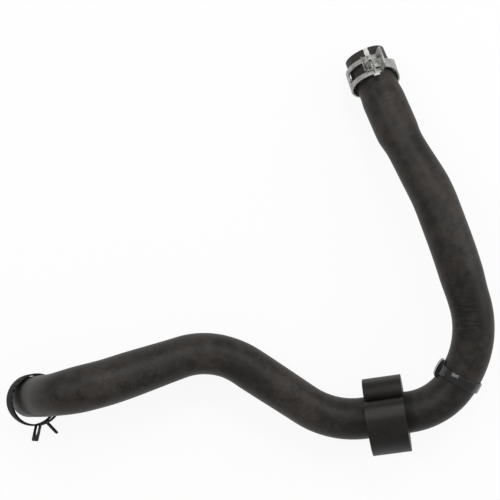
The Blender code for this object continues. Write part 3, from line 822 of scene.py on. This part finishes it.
plate_end = fork_angle - (tang_bend_radius + plate_reach * sheet_gap) / clip_radius
hook_end = fork_angle + hook_reach * sheet_gap / clip_radius
neck_middle = (window_end + plate_end) / 2
neck = clip_neck_width / 2 / clip_radius
tab = clip_tab_width / 2 / clip_radius
clip_back = -half_strip - seat_gap
clip_front = half_strip - seat_gap
rail_back = -clip_window - clip_rail
across = (clip_back - clip_tab_depth, clip_back, rail_back, -clip_window, clip_window, clip_front)


def clip_metal(angle):
    """Which spaces across are metal at an angle: tab, neck, rear rail, middle and front rail."""
    plate = angle < plate_end
    aside = abs(angle - neck_middle)
    return (aside < tab, aside < neck, plate, not window_start < angle < window_end, plate)


bend_back = lip_bend * sheet_gap / clip_radius
bend_front = hook_bend * sheet_gap / clip_radius
flat = [plate_start + bend_back, window_start, window_end, plate_end]
flat += [neck_middle - tab, neck_middle - neck, neck_middle + neck, neck_middle + tab]
flat += [(plate_end + hook_end) / 2, hook_end - bend_front]
clip_stations = [(plate_start, clip_lip), (plate_start, clip_lip * 0.4)]
clip_stations.append((plate_start + bend_back / 3, clip_lip * 0.1))
clip_stations += [(angle, 0.0) for angle in sorted(flat)]
clip_stations += [(hook_end, clip_hook * 0.25), (hook_end, clip_hook)]
clip_rows = []
for angle, height in clip_stations:
    spot = on_circle(clip_radius + height, angle)
    clip_rows.append([Vector((spot.x, spot.y, w)) for w in across])
clip_cells = []
for (low, _), (high, _) in zip(clip_stations, clip_stations[1:]):
    clip_cells.append(clip_metal((low + high) / 2))
clip = stamped("clamp_clip", clip_rows, clip_cells, clip_thickness, clip_edge, upper_place)
clip_zinc = zinc_coat("clip_zinc_plate", clip_dull, clip_bright, 0.7)
fit(clip, "upper_clamp_retainer", clip_zinc)

# The lower spring band clamp is the same stamping in a black coat, and stands wider open.
# It hangs round the end of the steep elbow.
lower_setback = 0.0040
lower_opening = 0.0044
lower_spread = math.radians(22)
lower_tongue_lean = math.radians(14)
lower_fork_lean = math.radians(20)
lower_tangs = math.radians(-92)
lower_slip = math.radians(-66)
lower_tilt = math.radians(3)
lower_tilt_side = math.radians(-160)
black_dark = (0.005, 0.005, 0.005, 1.0)
black_light = (0.011, 0.011, 0.0105, 1.0)
# Lighter black for the strip's edges: partly wear, partly a painted highlight.
black_worn_and_highlit = (0.085, 0.085, 0.080, 1.0)
lower_distance = lower_setback + half_strip
lower_radius = clamp_radius(lower_distance, lower_opening)
lower_place = clamp_place(
    lower_distance, False, lower_opening, lower_tangs, lower_slip, lower_tilt, lower_tilt_side
)
lower_clamp = spring_clamp(
    "lower_spring_clamp", lower_radius, lower_spread, lower_tongue_lean, lower_fork_lean, lower_place
)
black = Finish("black_coat")
where = black.place()
cloud = black.noise(where, 300.0, 4.0, 0.6)
flake = black.noise(where, 2600.0, 2.0, 0.6)
coat = black.blend(black.step(cloud, 0.3, 0.7), black_dark, black_light)
# The black coat's long edges are lightened: partly wear, partly a painted highlight where the band's
# edge catches the light.
coat = black.blend(worn_and_highlit_edge(black, where, lower_place) * 0.6, coat, black_worn_and_highlit)
black.surface(
    {"Base Color": coat, "Roughness": 0.52 + cloud * 0.12, "Specular IOR Level": 0.04},
    [(flake, 0.000015)],
)
fit(lower_clamp, "lower_clamp", black.material)

# The cable tie is one piece of glossy black nylon, pulled tight round the hose.
# Its low head lies on the inner side of the bend, with a pocket moulded in its top.
tie_from_collar = 0.0430
tie_place = collar_place + collar_width / 2 + tie_from_collar
tie_width = 0.0066
tie_thickness = 0.0011
tie_head_length = 0.0126
tie_head_rise = 0.0023
tie_head_rim = 0.0006
tie_head_depth = 0.0054
tie_pocket_depth = 0.0032
tie_turns = 120
nylon_dark = (0.002, 0.002, 0.002, 1.0)
nylon_light = (0.005, 0.005, 0.0048, 1.0)
tie_inner = outer_radius(tie_place) + seat_gap
tie_middle = tie_inner + tie_thickness / 2
corner = tie_thickness * 0.3
section = []
for side_x, side_y, start in ((1, -1, -90), (1, 1, 0), (-1, 1, 90), (-1, -1, 180)):
    centre = Vector((side_x * (tie_thickness / 2 - corner), side_y * (tie_width / 2 - corner)))
    turn = math.radians(start)
    section += arc_points(centre, corner, turn, math.radians(start + 90), math.radians(31))
tie_points = []
tie_faces = []
for i in range(tie_turns):
    turn = math.tau * i / tie_turns
    tie_points += [Vector((*on_circle(tie_middle + p.x, turn), p.y)) for p in section]
    here = i * len(section)
    there = (i + 1) % tie_turns * len(section)
    for k in range(len(section)):
        nxt = (k + 1) % len(section)
        tie_faces.append((here + k, here + nxt, there + nxt, there + k))
tie = solid("cable_tie_strap", tie_points, tie_faces)


def low_dome(half, rise):
    """Half an outline that is rounded at both ends and nearly flat over its middle."""
    steps = 28
    turns = [math.pi * i / steps for i in range(1, steps)]
    dome = [Vector((half * -math.cos(turn), rise * math.sin(turn) ** 0.6)) for turn in turns]
    return [Vector((-half, 0))] + dome + [Vector((half, 0))]


def tie_block(name, outline, low, high, base):
    """A block for the head or its pocket, from one height to another over the hose's middle."""
    middle = (low + high) / 2
    block = filled(name, outline, high - low)
    laid = ((0, 0, -1, middle), (0, -1, 0, -base), (-1, 0, 0, 0), (0, 0, 0, 1))
    block.data.transform(Matrix(laid))
    return block


top = tie_head_depth / 2
half = tie_head_length / 2
head = tie_block("tie_head", low_dome(half, tie_head_rise), -top, top, tie_middle)
pocket_dome = low_dome(half - tie_head_rim, tie_head_rise - tie_thickness / 2 - 2 * tie_head_rim)
pocket_floor = top - tie_pocket_depth
pocket_base = tie_inner + tie_thickness + tie_head_rim
pocket = tie_block("tie_pocket", pocket_dome, pocket_floor, top + tie_thickness, pocket_base)
for operation, tool in (("UNION", head), ("DIFFERENCE", pocket)):
    cut = tie.modifiers.new(tool.name, "BOOLEAN")
    cut.operation = operation
    cut.solver = "EXACT"
    cut.object = tool
settle(tie, 35)
tie.data.transform(frame_on_hose(tie_place))
bpy.data.objects.remove(head)
bpy.data.objects.remove(pocket)

nylon = Finish("black_nylon")
where = nylon.place()
cloud = nylon.noise(where, 300.0, 3.0, 0.6)
coat = nylon.blend(nylon.step(cloud, 0.3, 0.7), nylon_dark, nylon_light)
nylon.surface(
    {
        "Base Color": coat,
        "Roughness": 0.30 + cloud * 0.14,
        "Specular IOR Level": 0.12,
        "Coat Weight": 0.65,
        "Coat Roughness": 0.06,
        "Coat IOR": 1.6,
    }
)
fit(tie, "cable_tie", nylon.material)
